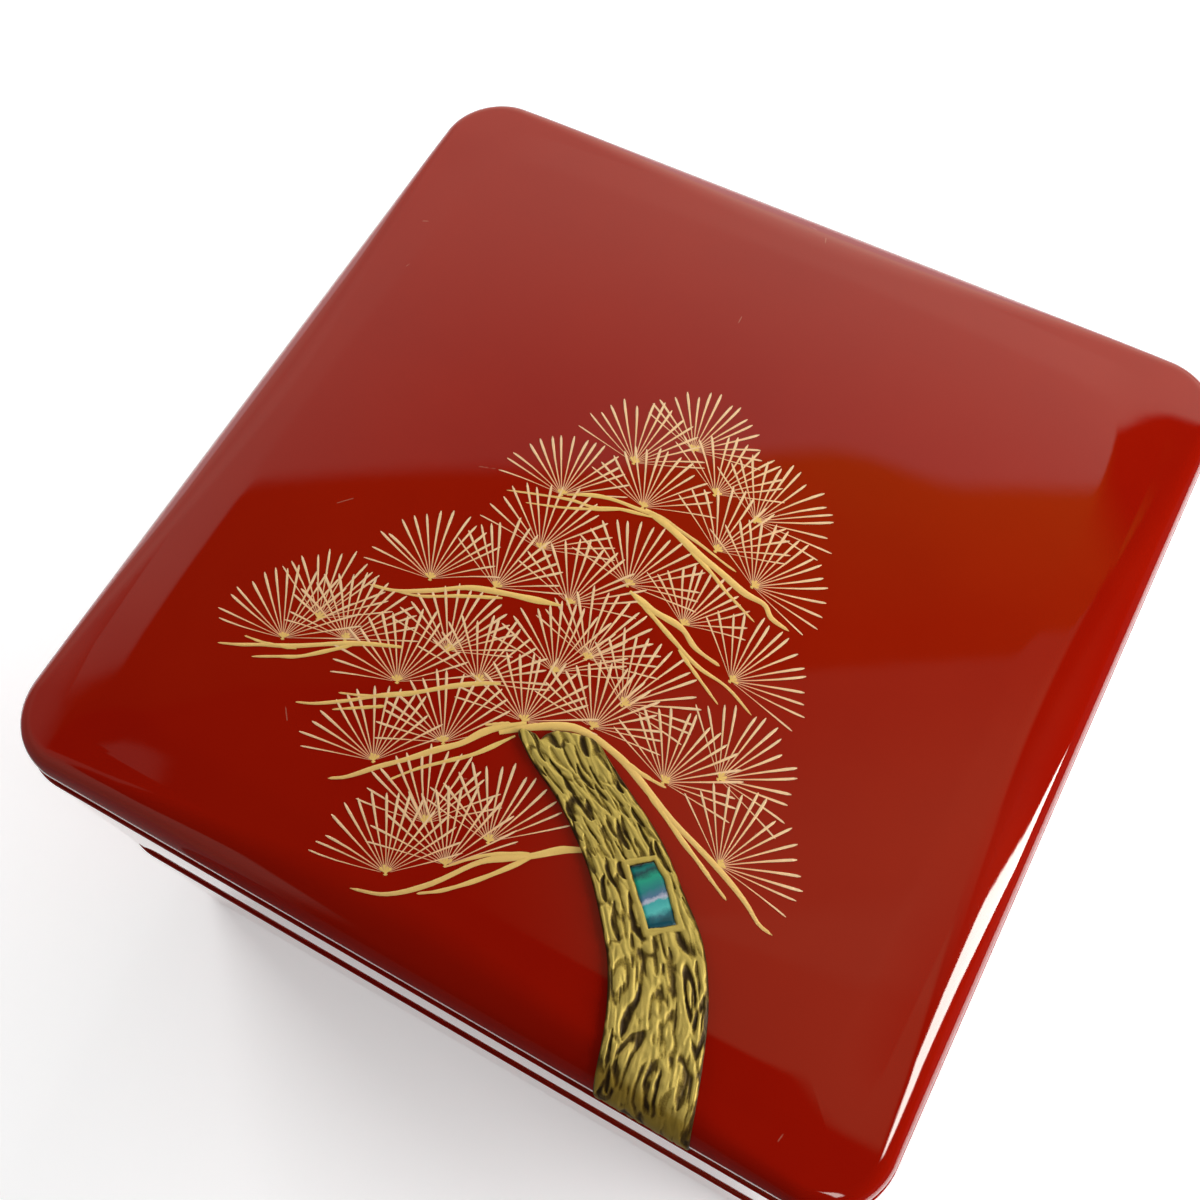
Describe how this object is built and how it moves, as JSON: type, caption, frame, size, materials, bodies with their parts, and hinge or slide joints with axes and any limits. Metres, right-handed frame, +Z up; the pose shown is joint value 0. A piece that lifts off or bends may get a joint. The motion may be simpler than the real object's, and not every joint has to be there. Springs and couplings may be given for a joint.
{
  "type": "stacking food box",
  "caption": "Square stacking food box with rounded corners: tiers that nest on inner lips, under a loose domed lid with a raised gold tree trunk and a shell inlay.",
  "frame": {"origin": "middle of the lower tier's foot, on the surface the box stands on", "axes": "+Z up through the stack, -Y towards the front, the side from which the trunk rises, +X to the right"},
  "size_m": [0.195, 0.195, 0.1339],
  "materials": {
    "vermilion_lacquer": "mirror-gloss vermilion lacquer over wooden boards",
    "black_lacquer": "gloss black lacquer over wooden boards",
    "bare_wood": "bare planed wood",
    "gold_relief": "gold powder on a raised lacquer ground, rubbed dark in the hollows",
    "shell": "polished abalone shell"
  },
  "bodies": {
    "lower_tier": {"lower_front_wall": "vermilion_lacquer", "lower_right_wall": "vermilion_lacquer", "lower_back_wall": "vermilion_lacquer", "lower_left_wall": "vermilion_lacquer", "lower_floor": "black_lacquer", "lower_corner_splines": "bare_wood", "lower_front_lip": "black_lacquer", "lower_right_lip": "black_lacquer", "lower_back_lip": "black_lacquer", "lower_left_lip": "black_lacquer"},
    "upper_tier": {"upper_front_wall": "vermilion_lacquer", "upper_right_wall": "vermilion_lacquer", "upper_back_wall": "vermilion_lacquer", "upper_left_wall": "vermilion_lacquer", "upper_floor": "black_lacquer", "upper_corner_splines": "bare_wood", "upper_front_lip": "black_lacquer", "upper_right_lip": "black_lacquer", "upper_back_lip": "black_lacquer", "upper_left_lip": "black_lacquer"},
    "lid": {"lid_front_rail": "vermilion_lacquer", "lid_right_rail": "vermilion_lacquer", "lid_back_rail": "vermilion_lacquer", "lid_left_rail": "vermilion_lacquer", "lid_corner_splines": "bare_wood", "lid_top": "vermilion_lacquer", "trunk_relief": "gold_relief", "shell_inlay": "shell"}
  },
  "joints": [
    {"name": "upper_tier_lift", "type": "slide", "parent": "lower_tier", "child": "upper_tier", "axis": [0, 0, 1], "range_m": [0, 0.1]},
    {"name": "lid_lift", "type": "slide", "parent": "upper_tier", "child": "lid", "axis": [0, 0, 1], "range_m": [0, 0.12]}
  ]
}
